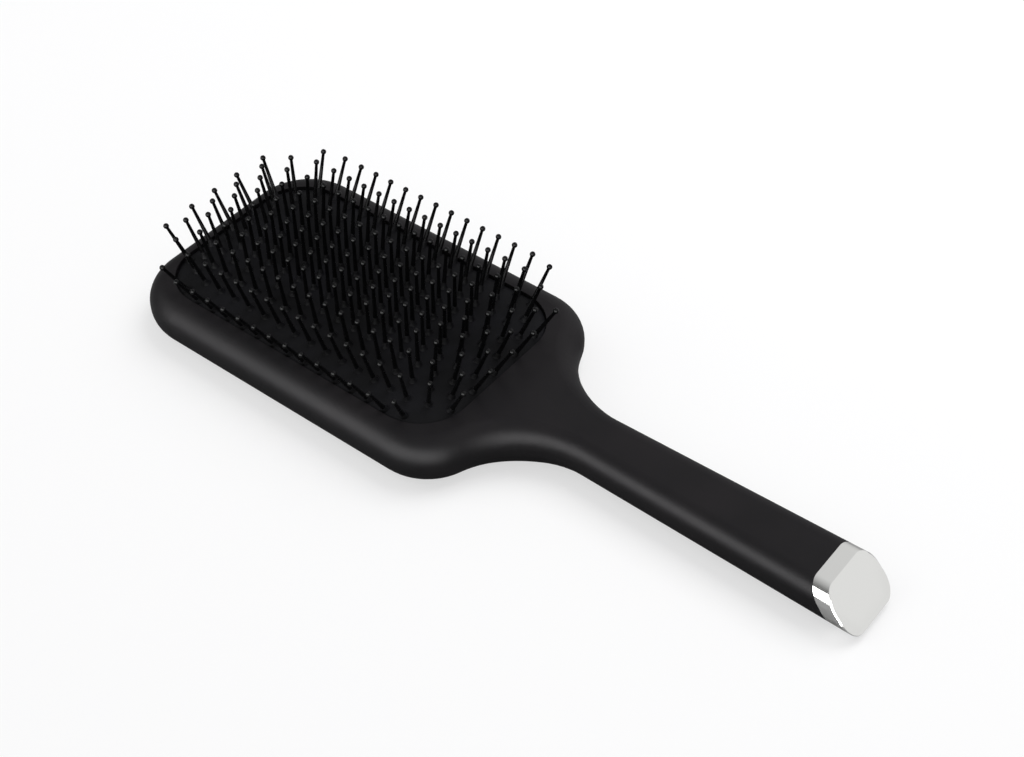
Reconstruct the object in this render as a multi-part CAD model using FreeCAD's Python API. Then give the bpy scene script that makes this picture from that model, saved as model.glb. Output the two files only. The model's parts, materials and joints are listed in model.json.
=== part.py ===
import FreeCAD
import Part
import math
import os

# Paddle brush lying on its back: a one-piece moulded head and handle, a crowned rubber
# air cushion with ball-tipped nylon pins set through it, and a plated cap on the handle's end.
# Millimetres. X runs from the head's far end to the handle's end, Z is up, pins pointing up.
# The origin is under the middle of the brush, on the surface that it lies on.

# Plan of the moulding. The flanks open towards handle_end_width, which they reach where the
# uncut blank ends, blank_overrun beyond the tip
overall_length = 252.0
head_length = 131.3
head_width = 85.2
head_corner_radius = 21.1
shoulder_radius = 19.9
neck_radius = 29.7
neck_width = 20.0
handle_end_width = 24.4

# Side view of the moulding
head_thickness = 16.0
handle_thickness = 12.8
handle_lift = 2.1
head_edge_radius = 7.6
handle_edge_radius = 5.4

# Plated cap on the handle's end: both its joint and its face lean, top edge towards the head
cap_joint_angle = 38.0
cap_face_angle = 42.7
cap_length = 6.1
spigot_length = 14.0
spigot_width = 15.0
spigot_thickness = 6.0
spigot_corner_radius = 2.0
spigot_clearance = 0.1

# Cushion: its outline on the face of the head, its crown and its rim
pad_length = 113.8
pad_width = 67.0
pad_corner_radius = 16.0
pad_setback = 7.0
pad_clearance = 0.3
rim_step = 1.0
crown_height = 2.2
crown_slopes = 3
middle_corner_radius = 2.0
membrane = 1.5
skirt_height = 3.0
skirt_wall = 1.4
bead_depth = 1.2
bead_height = 1.4

# Recess behind the cushion
ledge_width = 2.2
floor_thickness = 4.0

# Pins: rows along X, every second row shifted by half a pitch
rows_each_side = 5
side_row_inset = 1.75
pin_pitch = 6.42
end_column_inset = 2.3
pinch_start = 42.0
pinch_share = 0.2
foot_margin = 2.3
edge_lean = 34.0
lean_reach = 27.0
lean_limit = 31.0
pin_length = 15.4
ball_diameter = 1.85
shaft_tip_diameter = 0.86
shaft_foot_diameter = 1.24
foot_diameter = 2.5
foot_thickness = 0.8
foot_gap = 0.1
hole_clearance = 0.12
pin_sides = 4

# How far each ring of pins sinks with the cushion, as a share of the middle's travel
middle_share = 0.93
outer_share = 0.5

# Levels and places that follow from the sizes above
x_head = -overall_length / 2
x_tip = overall_length / 2
x_shoulder = x_head + head_length
pad_x = x_head + pad_setback + pad_length / 2
pad_edge_z = head_thickness - rim_step
crown_z = pad_edge_z + crown_height
crown_band = pad_corner_radius - middle_corner_radius
ledge_z = pad_edge_z - skirt_height
row_pitch = (pad_width / 2 - side_row_inset) / rows_each_side
crown_radius = (crown_band ** 2 + crown_height ** 2) / (2 * crown_height)
handle_mid_z = handle_lift + handle_thickness / 2
blank_overrun = 12.0
tall = 60.0


def vec(x, y, z=0.0):
    return FreeCAD.Vector(x, y, z)


def line(a, b):
    return Part.LineSegment(a, b).toShape()


def arc(a, middle, b):
    return Part.Arc(a, middle, b).toShape()


def on_circle(centre, radius, angle):
    return vec(centre[0] + radius * math.cos(angle), centre[1] + radius * math.sin(angle))


def mirrored(v):
    return vec(v.x, -v.y, v.z)


# Moulding

def plan_points():
    """Points of the half outline: head end, corner, side, shoulder, hollow of the neck, flank."""
    half = head_width / 2
    corner = (x_head + head_corner_radius, half - head_corner_radius)
    shoulder = (x_shoulder - shoulder_radius, half - shoulder_radius)
    reach = shoulder_radius + neck_radius
    neck_y = neck_width / 2 + neck_radius
    neck_x = shoulder[0] + math.sqrt(reach ** 2 - (neck_y - shoulder[1]) ** 2)
    turn = math.atan2(neck_y - shoulder[1], neck_x - shoulder[0])
    end = vec(x_tip + blank_overrun, handle_end_width / 2)
    sight = math.hypot(end.x - neck_x, end.y - neck_y)
    leave = math.atan2(end.y - neck_y, end.x - neck_x) - math.acos(neck_radius / sight)
    arrive = turn - math.pi
    return {
        "corner_start": vec(x_head, corner[1]),
        "corner_middle": on_circle(corner, head_corner_radius, 0.75 * math.pi),
        "corner_end": vec(corner[0], half),
        "shoulder_start": vec(shoulder[0], half),
        "shoulder_middle": on_circle(shoulder, shoulder_radius, (math.pi / 2 + turn) / 2),
        "shoulder_end": on_circle(shoulder, shoulder_radius, turn),
        "neck_middle": on_circle((neck_x, neck_y), neck_radius, (arrive + leave) / 2),
        "neck_end": on_circle((neck_x, neck_y), neck_radius, leave),
        "flank_end": end,
    }


def plan_wire(p):
    far = [
        arc(p["corner_start"], p["corner_middle"], p["corner_end"]),
        line(p["corner_end"], p["shoulder_start"]),
        arc(p["shoulder_start"], p["shoulder_middle"], p["shoulder_end"]),
        arc(p["shoulder_end"], p["neck_middle"], p["neck_end"]),
        line(p["neck_end"], p["flank_end"]),
    ]
    near = [e.mirror(vec(0, 0), vec(0, 1)) for e in far]
    head = line(mirrored(p["corner_start"]), p["corner_start"])
    end = line(p["flank_end"], mirrored(p["flank_end"]))
    return Part.Wire(Part.sortEdges([head] + far + [end] + near)[0])


def s_bend(x0, z0, x1, z1):
    """Two equal arcs that carry a level line at z0 over to a level line at z1."""
    run = x1 - x0
    rise = z1 - z0
    radius = (run ** 2 + rise ** 2) / (4 * abs(rise))
    side = math.copysign(1.0, rise)
    half = math.asin(run / (2 * radius)) / 2
    across = radius * math.sin(half)
    up = side * radius * (1 - math.cos(half))
    middle = vec((x0 + x1) / 2, 0, (z0 + z1) / 2)
    first = arc(vec(x0, 0, z0), vec(x0 + across, 0, z0 + up), middle)
    second = arc(middle, vec(x1 - across, 0, z1 - up), vec(x1, 0, z1))
    return [first, second]


def side_view(bend_start, bend_end):
    """The side outline, thick over the head and thinner and lifted over the handle."""
    x0 = x_head - blank_overrun
    x1 = x_tip + 2 * blank_overrun
    top = handle_lift + handle_thickness
    edges = s_bend(bend_start, head_thickness, bend_end, top)
    edges += s_bend(bend_start, 0.0, bend_end, handle_lift)
    edges += [
        line(vec(x0, 0, head_thickness), vec(bend_start, 0, head_thickness)),
        line(vec(bend_end, 0, top), vec(x1, 0, top)),
        line(vec(x1, 0, top), vec(x1, 0, handle_lift)),
        line(vec(x1, 0, handle_lift), vec(bend_end, 0, handle_lift)),
        line(vec(bend_start, 0, 0), vec(x0, 0, 0)),
        line(vec(x0, 0, 0), vec(x0, 0, head_thickness)),
    ]
    face = Part.Face(Part.Wire(Part.sortEdges(edges)[0]))
    face.translate(vec(0, -head_width, 0))
    return face.extrude(vec(0, 2 * head_width, 0))


def rounding_radius(x, bend_start, bend_end):
    share = min(1.0, max(0.0, (x - bend_start) / (bend_end - bend_start)))
    return head_edge_radius + (handle_edge_radius - head_edge_radius) * share


def follows_outline(edge, bend_start, bend_end):
    """True for the top and bottom edges, not for uprights or seams across the moulding."""
    box = edge.BoundBox
    if box.XMin > x_tip + blank_overrun - 1:
        return False
    if box.XLength < 0.01 and box.XMin > x_head + 1:
        return False
    return box.ZLength < min(head_thickness, handle_thickness) / 2


def rounded_blank():
    """Head and handle as one solid, its top and bottom edges rounded almost to half round."""
    p = plan_points()
    bend_start = p["shoulder_end"].x
    bend_end = p["neck_end"].x
    slab = Part.Face(plan_wire(p)).extrude(vec(0, 0, 3 * head_thickness))
    slab.translate(vec(0, 0, -head_thickness))
    blank = slab.common(side_view(bend_start, bend_end)).Solids[0]
    radii = []
    for number, edge in enumerate(blank.Edges, 1):
        if follows_outline(edge, bend_start, bend_end):
            first = edge.valueAt(edge.FirstParameter).x
            last = edge.valueAt(edge.LastParameter).x
            start = rounding_radius(first, bend_start, bend_end)
            end = rounding_radius(last, bend_start, bend_end)
            radii.append((number, start, end))
    document = FreeCAD.newDocument("moulding")
    base = document.addObject("Part::Feature", "Blank")
    base.Shape = blank
    rounding = document.addObject("Part::Fillet", "Rounding")
    rounding.Base = base
    rounding.Edges = radii
    document.recompute()
    return rounding.Shape.Solids[0].copy()


def beyond(x_mid, angle):
    """A block that fills everything past a leaning plane through x_mid at the handle's mid height."""
    block = Part.makeBox(2 * tall, 2 * tall, 2 * tall, vec(0, -tall, -tall))
    block.rotate(vec(0, 0, 0), vec(0, 1, 0), -angle)
    block.translate(vec(x_mid, 0, handle_mid_z))
    return block


def cap_face_x():
    return x_tip - handle_thickness / 2 * math.tan(math.radians(cap_face_angle))


def rounded_bar(x0, x1, width, thickness, radius):
    """A bar along X with rounded corners, centred on the handle."""
    bar = Part.makeBox(x1 - x0, width, thickness, vec(x0, -width / 2, handle_mid_z - thickness / 2))
    long_edges = [e for e in bar.Edges if e.BoundBox.XLength > x1 - x0 - 0.01]
    return bar.makeFillet(radius, long_edges)


# Outline of the cushion and everything that follows it

def pad_prism(grow, z0, z1):
    """The cushion's rounded outline, grown or shrunk by an amount, between two levels."""
    length = pad_length + 2 * grow
    width = pad_width + 2 * grow
    block = Part.makeBox(length, width, z1 - z0, vec(pad_x - length / 2, -width / 2, z0))
    uprights = [e for e in block.Edges if e.BoundBox.ZLength > z1 - z0 - 0.01]
    return block.makeFillet(pad_corner_radius + grow, uprights)


def rounded_outline(inset, z):
    """The cushion's outline drawn in by an amount, as a wire at a level."""
    prism = pad_prism(-inset, z - 1, z)
    top = max(prism.Faces, key=lambda f: f.CenterOfMass.z)
    return top.OuterWire


def arc_drop(inside):
    """How far the crown's arc lies below the flat middle, at a distance inside the outline."""
    short = max(0.0, crown_band - inside)
    return crown_radius - math.sqrt(crown_radius ** 2 - short ** 2)


def crown_drop(inside):
    """The same on the real surface, which follows the arc in a few straight slopes."""
    step = crown_band / crown_slopes
    first = min(int(inside / step), crown_slopes - 1)
    low = arc_drop(first * step)
    high = arc_drop((first + 1) * step)
    share = min(1.0, inside / step - first)
    return low + (high - low) * share


def crowned_block(z0):
    """The cushion's full outer form down to z0: straight sides, sloped crown, flat middle."""
    insets = [crown_band * k / crown_slopes for k in range(crown_slopes + 1)]
    outlines = [rounded_outline(inset, crown_z - arc_drop(inset)) for inset in insets]
    crown = Part.makeLoft(outlines, True, True)
    return pad_prism(0, z0, pad_edge_z).fuse(crown).removeSplitter()


def hollow_under():
    """The air space in the cushion: straight skirt, sloping shoulder, flat roof under the crown."""
    roof_z = crown_z - membrane
    spring_z = crown_z - crown_drop(skirt_wall) - membrane
    skirt = pad_prism(-skirt_wall, ledge_z - 1, spring_z)
    low = rounded_outline(skirt_wall, spring_z)
    high = rounded_outline(crown_band, roof_z)
    return skirt.fuse(Part.makeLoft([low, high], True, True)).removeSplitter()


def make_cushion(pins):
    """Rubber cushion: crowned membrane, skirt, and a bead that snaps under the recess's lip."""
    outer = crowned_block(ledge_z)
    bead = pad_prism(bead_depth, ledge_z, ledge_z + bead_height)
    cushion = outer.fuse(bead).removeSplitter().cut(hollow_under())
    holes = [pin_hole(foot, axis) for foot, axis in pins]
    return cushion.cut(Part.makeCompound(holes)).Solids[0]


def make_body(blank):
    """The moulding with its recess, the ledge and groove that hold the cushion, and the cap's socket."""
    body = blank.cut(beyond(cap_face_x() - cap_length, cap_joint_angle))
    opening = pad_prism(pad_clearance, ledge_z, head_thickness + 1)
    groove = pad_prism(bead_depth + pad_clearance, ledge_z, ledge_z + bead_height + pad_clearance)
    chamber = pad_prism(-ledge_width, floor_thickness, ledge_z + 0.5)
    recess = opening.fuse(groove).fuse(chamber)
    x0 = cap_face_x() - cap_length - spigot_length - spigot_clearance
    socket = rounded_bar(x0, x_tip, spigot_width + 2 * spigot_clearance,
                         spigot_thickness + 2 * spigot_clearance, spigot_corner_radius + spigot_clearance)
    return body.cut(recess).cut(socket).Solids[0]


def make_cap(blank):
    """The plated cap: a leaning slice of the handle's end and the spigot that plugs into it."""
    shell = blank.common(beyond(cap_face_x() - cap_length, cap_joint_angle))
    shell = shell.cut(beyond(cap_face_x(), cap_face_angle)).Solids[0]
    x0 = cap_face_x() - cap_length - spigot_length
    inside = cap_face_x() - cap_length / 2
    spigot = rounded_bar(x0, inside, spigot_width, spigot_thickness, spigot_corner_radius)
    return shell.fuse(spigot).Solids[0]


# Pins

def inside_outline(x, y):
    """Distance from a point to the cushion's outline, with x taken from the cushion's middle."""
    past_x = abs(x) - (pad_length / 2 - pad_corner_radius)
    past_y = abs(y) - (pad_width / 2 - pad_corner_radius)
    if past_x > 0 and past_y > 0:
        return pad_corner_radius - math.hypot(past_x, past_y)
    return pad_corner_radius - max(past_x, past_y)


def kept_inside(x, y):
    """Draws a foot in towards the corner's centre until it keeps its margin to the outline."""
    corner_x = pad_length / 2 - pad_corner_radius
    corner_y = pad_width / 2 - pad_corner_radius
    past_x = abs(x) - corner_x
    past_y = abs(y) - corner_y
    lack = foot_margin - inside_outline(x, y)
    if lack <= 0 or past_x <= 0 or past_y <= 0:
        return x, y
    scale = 1 - lack / math.hypot(past_x, past_y)
    return (math.copysign(corner_x + past_x * scale, x), math.copysign(corner_y + past_y * scale, y))


def lean(inside):
    return math.radians(edge_lean) * max(0.0, 1 - inside / lean_reach) ** 2


def pin_axis(x, y):
    """Pins stand upright in the middle and splay outwards towards every edge."""
    across = math.copysign(math.tan(lean(pad_length / 2 - abs(x))), x)
    aside = math.copysign(math.tan(lean(pad_width / 2 - abs(y))), y)
    slope = math.hypot(across, aside)
    limit = math.tan(math.radians(lean_limit))
    scale = min(1.0, limit / slope) if slope > 0 else 1.0
    axis = vec(across * scale, aside * scale, 1)
    return axis.normalize()


def pin_feet():
    """Each pin's row number, foot on the crowned surface, axis and share of the travel."""
    last = pad_length / 2 - end_column_inset
    columns = int(round(last / (pin_pitch / 2)))
    spread = last / columns
    feet = []
    for row in range(-rows_each_side, rows_each_side + 1):
        for column in range(-columns, columns + 1):
            if (column + row) % 2 != columns % 2:
                continue
            x = column * spread
            pinch = pinch_share * max(0.0, (abs(x) - pinch_start) / (last - pinch_start)) ** 1.2
            y = row * row_pitch * (1 - pinch)
            if abs(row) == rows_each_side and abs(column) > columns - 3:
                continue
            x, y = kept_inside(x, y)
            drop = crown_drop(inside_outline(x, y))
            foot = vec(pad_x + x, y, crown_z - drop)
            feet.append((row, foot, pin_axis(x, y), 1 - drop / crown_height))
    return feet


def ring(foot, axis, along, radius):
    """Corners of one cross-section of a pin, at a height along its axis."""
    u = axis.cross(vec(0, 1, 0)).normalize()
    w = axis.cross(u)
    corners = []
    for k in range(pin_sides):
        angle = 2 * math.pi * k / pin_sides
        offset = u * (radius * math.cos(angle)) + w * (radius * math.sin(angle))
        corners.append(foot + axis * along + offset)
    return corners


def skin(rings):
    """A closed solid of flat faces through rings of corners."""
    faces = [Part.Face(Part.makePolygon(r + [r[0]])) for r in (rings[0], rings[-1])]
    for low, high in zip(rings, rings[1:]):
        for k in range(pin_sides):
            n = (k + 1) % pin_sides
            quad = [low[k], low[n], high[n], high[k], low[k]]
            faces.append(Part.Face(Part.makePolygon(quad)))
    solid = Part.makeSolid(Part.makeShell(faces))
    if solid.Volume < 0:
        solid.reverse()
    return solid


def wall_along(axis):
    """How much of a pin's length lies in the membrane, with the pin leaning."""
    return membrane / axis.z


def pin_solid(foot, axis):
    """A moulded nylon pin: flared foot under the membrane, tapered shaft, ball tip."""
    under = -wall_along(axis) - foot_gap - foot_tilt(axis)
    ball = ball_diameter / 2
    sections = [
        (under - foot_thickness, foot_diameter / 2),
        (under, shaft_foot_diameter / 2),
        (pin_length - 1.9 * ball, shaft_tip_diameter / 2),
        (pin_length - ball, ball),
        (pin_length, 0.35 * ball),
    ]
    return skin([ring(foot, axis, along, radius) for along, radius in sections])


def foot_tilt(axis):
    """Extra drop that keeps a leaning foot clear of the membrane's underside."""
    slope = math.sqrt(max(0.0, 1 - axis.z ** 2)) / axis.z
    return shaft_foot_diameter / 2 * slope


def pin_hole(foot, axis):
    radius = shaft_foot_diameter / 2 + hole_clearance
    depth = wall_along(axis) + membrane
    return skin([ring(foot, axis, -depth, radius), ring(foot, axis, membrane, radius)])


def node_of(row, share):
    """Name of the group that a pin belongs to: its row, and the ring that it sinks with."""
    ring_name = "outer"
    if share >= outer_share:
        ring_name = "inner"
    if share >= middle_share:
        ring_name = "middle"
    return "pins_row_%02d_%s" % (row + rows_each_side + 1, ring_name)


def write(name, shape):
    shape.exportStep(os.path.join("parts", name + ".step"))


def main():
    os.makedirs("parts", exist_ok=True)
    blank = rounded_blank()
    feet = pin_feet()
    groups = {}
    for row, foot, axis, share in feet:
        groups.setdefault(node_of(row, share), []).append(pin_solid(foot, axis))
    write("handle_body", make_body(blank))
    write("end_cap", make_cap(blank))
    write("cushion", make_cushion([(foot, axis) for row, foot, axis, share in feet]))
    for name, pins in sorted(groups.items()):
        write(name, Part.makeCompound(pins))
        print(name, len(pins))
    print("pins in all", len(feet))


main()
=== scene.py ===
import json
import math
import bmesh
import bpy
import numpy as np
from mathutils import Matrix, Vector

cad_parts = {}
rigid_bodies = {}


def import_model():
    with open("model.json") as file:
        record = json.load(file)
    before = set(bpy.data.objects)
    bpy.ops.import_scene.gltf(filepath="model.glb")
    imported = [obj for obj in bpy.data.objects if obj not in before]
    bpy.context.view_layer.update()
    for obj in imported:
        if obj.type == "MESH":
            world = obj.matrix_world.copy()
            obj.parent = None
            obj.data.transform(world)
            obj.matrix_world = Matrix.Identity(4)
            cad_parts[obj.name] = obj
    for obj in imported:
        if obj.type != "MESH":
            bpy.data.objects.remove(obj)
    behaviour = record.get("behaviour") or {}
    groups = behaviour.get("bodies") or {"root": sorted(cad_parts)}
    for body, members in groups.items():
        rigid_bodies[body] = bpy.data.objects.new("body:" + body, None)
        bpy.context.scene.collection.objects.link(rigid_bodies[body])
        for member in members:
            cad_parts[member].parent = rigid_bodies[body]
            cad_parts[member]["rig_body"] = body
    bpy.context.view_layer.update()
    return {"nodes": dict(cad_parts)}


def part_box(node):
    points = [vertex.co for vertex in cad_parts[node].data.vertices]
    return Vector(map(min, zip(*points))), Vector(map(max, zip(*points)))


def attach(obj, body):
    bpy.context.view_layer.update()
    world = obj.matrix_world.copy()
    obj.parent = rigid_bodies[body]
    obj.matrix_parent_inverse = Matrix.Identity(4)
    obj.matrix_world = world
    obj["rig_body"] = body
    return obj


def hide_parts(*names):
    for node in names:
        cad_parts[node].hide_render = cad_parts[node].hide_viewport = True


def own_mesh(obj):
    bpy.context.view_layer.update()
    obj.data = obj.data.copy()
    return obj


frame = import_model()


def linear(code):
    """An sRGB colour such as 1e1e20, as the linear values that a shader takes."""
    channels = [int(code[i:i + 2], 16) / 255 for i in (0, 2, 4)]
    return [c / 12.92 if c <= 0.04045 else ((c + 0.055) / 1.055) ** 2.4 for c in channels] + [1.0]


def add(tree, kind, settings, links):
    """A node with its settings, by property or socket name, and the sockets that feed it."""
    node = tree.nodes.new(kind)
    for key, value in settings.items():
        if key in node.inputs:
            node.inputs[key].default_value = value
        else:
            setattr(node, key, value)
    for key, source in links.items():
        tree.links.new(source, node.inputs[key])
    return node


# Head and handle
# One hollow moulding in black plastic with a soft-touch coating: it looks almost satin on
# its rounded edges and dull on the flats, with a very fine grain that breaks up highlights.

soft_touch = bpy.data.materials.new("soft_touch_black")
soft_touch.use_nodes = True
tree = soft_touch.node_tree
skin = tree.nodes["Principled BSDF"]
place = add(tree, "ShaderNodeTexCoord", {}, {})
cloud = add(tree, "ShaderNodeTexNoise", {"Scale": 45.0, "Detail": 3.0}, {"Vector": place.outputs["Object"]})
tint = add(tree, "ShaderNodeValToRGB", {}, {"Fac": cloud.outputs["Fac"]})
tint.color_ramp.elements[0].position = 0.3
tint.color_ramp.elements[0].color = linear("131214")
tint.color_ramp.elements[1].position = 0.7
tint.color_ramp.elements[1].color = linear("191719")
tree.links.new(tint.outputs["Color"], skin.inputs["Base Color"])
patch = add(tree, "ShaderNodeTexNoise", {"Scale": 260.0, "Detail": 4.0}, {"Vector": place.outputs["Object"]})
rough = add(tree, "ShaderNodeMapRange", {"To Min": 0.40, "To Max": 0.50}, {"Value": patch.outputs["Fac"]})
tree.links.new(rough.outputs["Result"], skin.inputs["Roughness"])
grain = add(tree, "ShaderNodeTexNoise", {"Scale": 3800.0, "Detail": 2.0}, {"Vector": place.outputs["Object"]})
relief = add(tree, "ShaderNodeBump", {"Strength": 0.25, "Distance": 0.00003},
             {"Height": grain.outputs["Fac"]})
tree.links.new(relief.outputs["Normal"], skin.inputs["Normal"])
skin.inputs["Specular IOR Level"].default_value = 0.12

body = frame["nodes"]["handle_body"]
body.data.materials.clear()
body.data.materials.append(soft_touch)


# End cap
# A plated metal cap pressed into the end of the handle, its joint and its face both leaning.
# It has a crisp, slightly broken edge round the bare face, and a satin bright finish.

plating = bpy.data.materials.new("satin_chrome_plating")
plating.use_nodes = True
tree = plating.node_tree
skin = tree.nodes["Principled BSDF"]
place = add(tree, "ShaderNodeTexCoord", {}, {})
skin.inputs["Base Color"].default_value = linear("e4e4e2")
skin.inputs["Metallic"].default_value = 1.0
patch = add(tree, "ShaderNodeTexNoise", {"Scale": 500.0, "Detail": 5.0}, {"Vector": place.outputs["Object"]})
rough = add(tree, "ShaderNodeMapRange", {"To Min": 0.10, "To Max": 0.15}, {"Value": patch.outputs["Fac"]})
tree.links.new(rough.outputs["Result"], skin.inputs["Roughness"])
grain = add(tree, "ShaderNodeTexNoise", {"Scale": 2500.0, "Detail": 2.0}, {"Vector": place.outputs["Object"]})
relief = add(tree, "ShaderNodeBump", {"Strength": 0.08, "Distance": 0.00002},
             {"Height": grain.outputs["Fac"]})
tree.links.new(relief.outputs["Normal"], skin.inputs["Normal"])

face_lean = math.radians(42.7)
broken_edge = 0.0003
weld_distance = 0.000002
same_plane = 0.999
crease_angle = math.radians(19)
face_normal = Vector((math.cos(face_lean), 0, math.sin(face_lean)))
mesh = bmesh.new()
mesh.from_mesh(frame["nodes"]["end_cap"].data)
bmesh.ops.remove_doubles(mesh, verts=mesh.verts, dist=weld_distance)
mesh.normal_update()
rim = []
for edge in mesh.edges:
    on_face = [face.normal.dot(face_normal) > same_plane for face in edge.link_faces]
    if on_face.count(True) == 1 and on_face.count(False) == 1:
        rim.append(edge)
bmesh.ops.bevel(mesh, geom=rim, offset=broken_edge, segments=1, profile=0.5, affect="EDGES")
for face in mesh.faces:
    face.smooth = True
cap_mesh = bpy.data.meshes.new("plated_end_cap")
mesh.to_mesh(cap_mesh)
mesh.free()
cap_mesh.set_sharp_from_angle(angle=crease_angle)
cap_mesh.materials.clear()
cap_mesh.materials.append(plating)
cap = bpy.data.objects.new("plated_end_cap", cap_mesh)
bpy.context.scene.collection.objects.link(cap)
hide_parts("end_cap")
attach(cap, "handle")


# Cushion
# Moulded black rubber, domed by the air behind it and held all round by its rim in the head.
# The rubber is dull, with a faint cloudy bloom, and rises in one smooth crown from the rim.

rubber = bpy.data.materials.new("matt_black_rubber")
rubber.use_nodes = True
tree = rubber.node_tree
skin = tree.nodes["Principled BSDF"]
place = add(tree, "ShaderNodeTexCoord", {}, {})
cloud = add(tree, "ShaderNodeTexNoise", {"Scale": 70.0, "Detail": 4.0}, {"Vector": place.outputs["Object"]})
tint = add(tree, "ShaderNodeValToRGB", {}, {"Fac": cloud.outputs["Fac"]})
tint.color_ramp.elements[0].position = 0.3
tint.color_ramp.elements[0].color = linear("09090a")
tint.color_ramp.elements[1].position = 0.7
tint.color_ramp.elements[1].color = linear("111114")
tree.links.new(tint.outputs["Color"], skin.inputs["Base Color"])
patch = add(tree, "ShaderNodeTexNoise", {"Scale": 400.0, "Detail": 4.0}, {"Vector": place.outputs["Object"]})
rough = add(tree, "ShaderNodeMapRange", {"To Min": 0.52, "To Max": 0.66}, {"Value": patch.outputs["Fac"]})
tree.links.new(rough.outputs["Result"], skin.inputs["Roughness"])
grain = add(tree, "ShaderNodeTexNoise", {"Scale": 2200.0, "Detail": 3.0}, {"Vector": place.outputs["Object"]})
relief = add(tree, "ShaderNodeBump", {"Strength": 0.3, "Distance": 0.00004}, {"Height": grain.outputs["Fac"]})
tree.links.new(relief.outputs["Normal"], skin.inputs["Normal"])
skin.inputs["Specular IOR Level"].default_value = 0.08

pad_corner = 0.016
crown_height = 0.0022
crown_band = 0.014
rim_round = 0.0004
rim_turn = math.radians(72)
rim_steps = 4
crown_steps = 18
underside_gap = 0.0005
bead_depth = 0.0012
low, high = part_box("cushion")
pad_middle = (low + high) / 2
pad_half = (high - low) / 2 - Vector((bead_depth, bead_depth, 0))
crown_radius = (crown_band ** 2 + crown_height ** 2) / (2 * crown_height)
rim_z = high.z - crown_height


def crown_level(inside):
    """Height of the crown at a distance inside the cushion's outline."""
    short = max(0.0, crown_band - inside)
    return high.z - crown_radius + math.sqrt(crown_radius ** 2 - short ** 2)


def pad_ring(mesh, inside, z):
    """A closed ring of vertices along the cushion's outline, drawn in by an amount."""
    arc_steps = 24
    side_steps = 20
    radius = pad_corner - inside
    points = []
    for turn in range(4):
        start = turn * math.pi / 2
        sx = 1 if turn in (0, 3) else -1
        sy = 1 if turn in (0, 1) else -1
        centre = Vector((sx * (pad_half.x - pad_corner), sy * (pad_half.y - pad_corner), 0))
        for k in range(arc_steps + 1):
            angle = start + k / arc_steps * math.pi / 2
            points.append(centre + Vector((math.cos(angle), math.sin(angle), 0)) * radius)
        sx, sy = ((-1, 1), (-1, -1), (1, -1), (1, 1))[turn]
        centre = Vector((sx * (pad_half.x - pad_corner), sy * (pad_half.y - pad_corner), 0))
        angle = start + math.pi / 2
        ahead = centre + Vector((math.cos(angle), math.sin(angle), 0)) * radius
        last = points[-1]
        points += [last.lerp(ahead, k / side_steps) for k in range(1, side_steps)]
    return [mesh.verts.new((pad_middle.x + p.x, pad_middle.y + p.y, z)) for p in points]


mesh = bmesh.new()
levels = [(0.0, low.z + underside_gap), (0.0, rim_z - rim_round)]
for k in range(1, rim_steps + 1):
    angle = k / rim_steps * rim_turn
    levels.append((rim_round * (1 - math.cos(angle)), rim_z - rim_round + rim_round * math.sin(angle)))
for k in range(1, crown_steps + 1):
    inside = rim_round + (crown_band - rim_round) * k / crown_steps
    levels.append((inside, crown_level(inside)))
rings = [pad_ring(mesh, inside, z) for inside, z in levels]
for lower, upper in zip(rings, rings[1:]):
    for k in range(len(lower)):
        n = (k + 1) % len(lower)
        mesh.faces.new((lower[k], lower[n], upper[n], upper[k]))
mesh.faces.new(rings[-1])
for face in mesh.faces:
    face.smooth = True
cushion_mesh = bpy.data.meshes.new("air_cushion")
mesh.to_mesh(cushion_mesh)
mesh.free()
cushion = bpy.data.objects.new("air_cushion", cushion_mesh)
bpy.context.scene.collection.objects.link(cushion)
cushion.data.materials.append(rubber)
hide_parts("cushion")
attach(cushion, "handle")
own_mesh(cushion)


# Pins
# Moulded black nylon: a foot under the rubber, a shaft that tapers upwards and a round ball.
# Each stands in a small flared collar of the cushion's rubber, which moves with it.

nylon = bpy.data.materials.new("black_nylon")
nylon.use_nodes = True
tree = nylon.node_tree
skin = tree.nodes["Principled BSDF"]
place = add(tree, "ShaderNodeTexCoord", {}, {})
cloud = add(tree, "ShaderNodeTexNoise", {"Scale": 220.0, "Detail": 2.0}, {"Vector": place.outputs["Object"]})
tint = add(tree, "ShaderNodeValToRGB", {}, {"Fac": cloud.outputs["Fac"]})
tint.color_ramp.elements[0].color = linear("0a0a0b")
tint.color_ramp.elements[1].color = linear("101011")
tree.links.new(tint.outputs["Color"], skin.inputs["Base Color"])
patch = add(tree, "ShaderNodeTexNoise", {"Scale": 900.0, "Detail": 2.0}, {"Vector": place.outputs["Object"]})
rough = add(tree, "ShaderNodeMapRange", {"To Min": 0.22, "To Max": 0.30}, {"Value": patch.outputs["Fac"]})
tree.links.new(rough.outputs["Result"], skin.inputs["Roughness"])
skin.inputs["Specular IOR Level"].default_value = 0.12

pin_length = 0.0154
ball_radius = 0.000925
collar_height = 0.0020
shaft_tip_radius = 0.0005
shaft_foot_radius = 0.00073
foot_radius = 0.00088
around = 14
ball_steps = 9
corners_per_ring = 4


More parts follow.
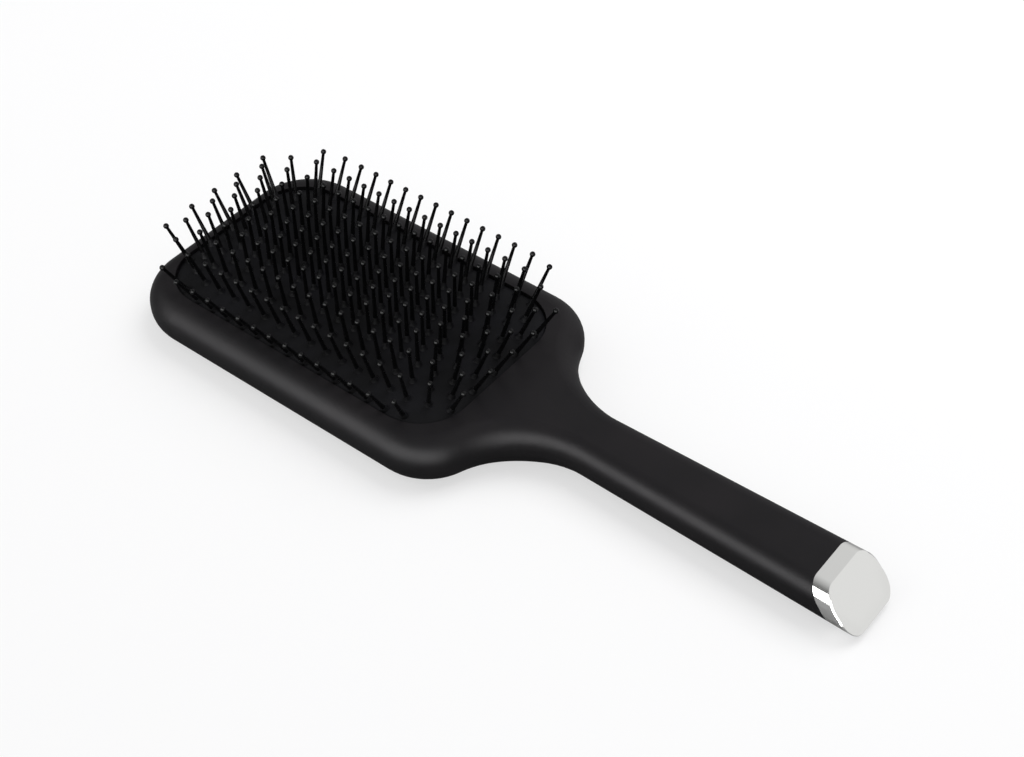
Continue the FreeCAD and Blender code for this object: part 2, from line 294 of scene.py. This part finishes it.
def pin_profile():
    """Radius along a pin, as (height above the rubber, radius), for its collar and for the rest."""
    collar = [(-0.0009, 0.00165), (-0.0002, 0.00150), (0.0003, 0.00122), (0.0009, 0.00098),
              (0.0015, 0.00084), (collar_height, 0.00076), (collar_height + 0.0001, 0.00068),
              (collar_height, 0.00058)]
    shaft = [(-0.0026, foot_radius), (-0.0020, foot_radius), (-0.0019, shaft_foot_radius),
             (collar_height, shaft_foot_radius)]
    neck = pin_length - ball_radius - math.sqrt(ball_radius ** 2 - shaft_tip_radius ** 2)
    shaft += [((collar_height + neck) / 2, (shaft_foot_radius + shaft_tip_radius) / 2)]
    start = math.asin(shaft_tip_radius / ball_radius)
    for k in range(ball_steps):
        angle = start + (math.pi - start) * k / ball_steps
        shaft.append((pin_length - ball_radius - ball_radius * math.cos(angle),
                      ball_radius * math.sin(angle)))
    return collar, shaft


def pin_places(node):
    """Foot bottom and unit axis of each pin, read from the rings of corners of its CAD solid."""
    data = node.data
    keys = {}
    for v in data.vertices:
        keys.setdefault(tuple(round(c * 1e6) for c in v.co), []).append(v.index)
    group = {}
    for members in keys.values():
        for index in members:
            group[index] = members[0]

    def root(index):
        while group[index] != index:
            index = group[index]
        return index

    for face in data.polygons:
        first = root(face.vertices[0])
        for index in face.vertices[1:]:
            group[root(index)] = first
    solids = {}
    for members in keys.values():
        solids.setdefault(root(members[0]), []).append(np.array(data.vertices[members[0]].co))
    places = []
    for corners in solids.values():
        corners = np.array(corners)
        axis = np.linalg.svd(corners - corners.mean(0))[2][0]
        axis = axis if axis[2] > 0 else -axis
        order = np.argsort(corners @ axis)
        foot = corners[order[:corners_per_ring]].mean(0)
        top = corners[order[-corners_per_ring:]].mean(0)
        axis = Vector(top - foot).normalized()
        places.append((Vector(top) - axis * pin_length, axis))
    return places


def lathe(mesh, foot, axis, profile, material_index, closed_top):
    """Turns a profile about a pin's axis and adds its faces to the mesh."""
    u = axis.cross(Vector((0, 1, 0))).normalized()
    w = axis.cross(u)
    rings = []
    for along, radius in profile:
        ring = []
        for k in range(around):
            angle = 2 * math.pi * k / around
            spoke = u * math.cos(angle) + w * math.sin(angle)
            ring.append(mesh.verts.new(foot + axis * along + spoke * radius))
        rings.append(ring)
    for lower, upper in zip(rings, rings[1:]):
        for k in range(around):
            n = (k + 1) % around
            face = mesh.faces.new((lower[k], lower[n], upper[n], upper[k]))
            face.smooth = True
            face.material_index = material_index
    if closed_top:
        tip = mesh.verts.new(foot + axis * pin_length)
        for k in range(around):
            face = mesh.faces.new((rings[-1][k], rings[-1][(k + 1) % around], tip))
            face.smooth = True
            face.material_index = material_index


collar_profile, shaft_profile = pin_profile()
for name, node in frame["nodes"].items():
    if not name.startswith("pins_"):
        continue
    mesh = bmesh.new()
    for foot, axis in pin_places(node):
        lathe(mesh, foot, axis, shaft_profile, 0, True)
        lathe(mesh, foot, axis, collar_profile, 1, False)
    bmesh.ops.recalc_face_normals(mesh, faces=mesh.faces)
    pin_mesh = bpy.data.meshes.new("round_" + name)
    mesh.to_mesh(pin_mesh)
    mesh.free()
    pins = bpy.data.objects.new("round_" + name, pin_mesh)
    bpy.context.scene.collection.objects.link(pins)
    pins.data.materials.append(nylon)
    pins.data.materials.append(rubber)
    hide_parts(name)
    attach(pins, node["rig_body"])


# Floor and background
# A plain white sweep: the floor takes the brush's soft shadow, and the camera sees white
# beyond it. Shiny surfaces see a studio that is bright behind the brush and dim before it.

shadow_lift = 0.6
floor_size = 6.0
bright_side = (0.50, 0.65, 0.57)

white = bpy.data.materials.new("white_sweep")
white.use_nodes = True
tree = white.node_tree
skin = tree.nodes["Principled BSDF"]
skin.inputs["Base Color"].default_value = linear("e9e9ea")
skin.inputs["Roughness"].default_value = 0.9
skin.inputs["Specular IOR Level"].default_value = 0.0
path = add(tree, "ShaderNodeLightPath", {}, {})
glow = add(tree, "ShaderNodeEmission", {"Color": (1, 1, 1, 1)}, {"Strength": path.outputs["Is Camera Ray"]})
lift = add(tree, "ShaderNodeMixShader", {"Fac": shadow_lift}, {})
tree.links.new(skin.outputs["BSDF"], lift.inputs[1])
tree.links.new(glow.outputs["Emission"], lift.inputs[2])
tree.links.new(lift.outputs["Shader"], tree.nodes["Material Output"].inputs["Surface"])
bpy.ops.mesh.primitive_plane_add(size=floor_size, location=(0, 0, 0))
floor = bpy.context.object
floor.name = "floor"
floor.data.materials.append(white)

world = bpy.data.worlds.new("studio")
bpy.context.scene.world = world
world.use_nodes = True
tree = world.node_tree
tree.nodes["Background"].inputs["Color"].default_value = (1, 1, 1, 1)
path = add(tree, "ShaderNodeLightPath", {}, {})
seen = add(tree, "ShaderNodeMapRange", {"To Min": 0.55, "To Max": 1.0},
           {"Value": path.outputs["Is Camera Ray"]})
place = add(tree, "ShaderNodeTexCoord", {}, {})
side = add(tree, "ShaderNodeVectorMath", {"operation": "DOT_PRODUCT"}, {0: place.outputs["Generated"]})
side.inputs[1].default_value = bright_side
shaped = add(tree, "ShaderNodeMapRange", {"From Min": 0.0, "From Max": 0.9, "To Min": 0.16, "To Max": 0.92},
             {"Value": side.outputs["Value"]})
level = add(tree, "ShaderNodeMix", {"data_type": "FLOAT"}, {"Factor": path.outputs["Is Glossy Ray"]})
tree.links.new(seen.outputs["Result"], level.inputs["A"])
tree.links.new(shaped.outputs["Result"], level.inputs["B"])
tree.links.new(level.outputs["Result"], tree.nodes["Background"].inputs["Strength"])


# Light
# Soft studio light: one wide box above and behind the brush on the right, which throws the
# shadow towards the camera, a weaker one from the left, and two that only show as the
# broad highlights along the near edges and round the shoulder.

def soft_box(name, place, size, power):
    """A square area lamp that faces the middle of the brush."""
    data = bpy.data.lights.new(name, "AREA")
    data.size = size
    data.energy = power
    lamp = bpy.data.objects.new(name, data)
    bpy.context.scene.collection.objects.link(lamp)
    lamp.location = place
    lamp.rotation_euler = (-Vector(place)).to_track_quat("-Z", "Y").to_euler()
    return lamp


key = soft_box("key_box", (0.10, 0.55, 0.95), 0.8, 9.0)
key.visible_glossy = False
soft_box("fill_box", (-0.9, -0.5, 0.7), 0.8, 3.0)
edge = soft_box("edge_box", (-0.30, -1.00, 0.36), 1.0, 28.0)
edge.visible_diffuse = False
shoulder = soft_box("shoulder_box", (0.62, -0.82, 0.44), 1.0, 26.0)
shoulder.visible_diffuse = False


# Camera
# The photograph's view: from above the near side of the handle, 45 degrees down.

azimuth = math.radians(37.9)
elevation = math.radians(45.06)
distance = 0.54506
aim = Vector((-0.01125, 0.01359, 0.0))
level_look = Vector((-math.sin(azimuth), math.cos(azimuth), 0)) * math.cos(elevation)
look = level_look - Vector((0, 0, math.sin(elevation)))
camera_data = bpy.data.cameras.new("camera")
camera_data.sensor_width = 36.0
camera_data.lens = 61.05
camera_data.clip_start = 0.01
camera = bpy.data.objects.new("camera", camera_data)
bpy.context.scene.collection.objects.link(camera)
camera.location = aim - look * distance
camera.rotation_mode = "QUATERNION"
camera.rotation_quaternion = look.to_track_quat("-Z", "Y")
bpy.context.scene.camera = camera
bpy.context.scene.view_settings.view_transform = "Standard"
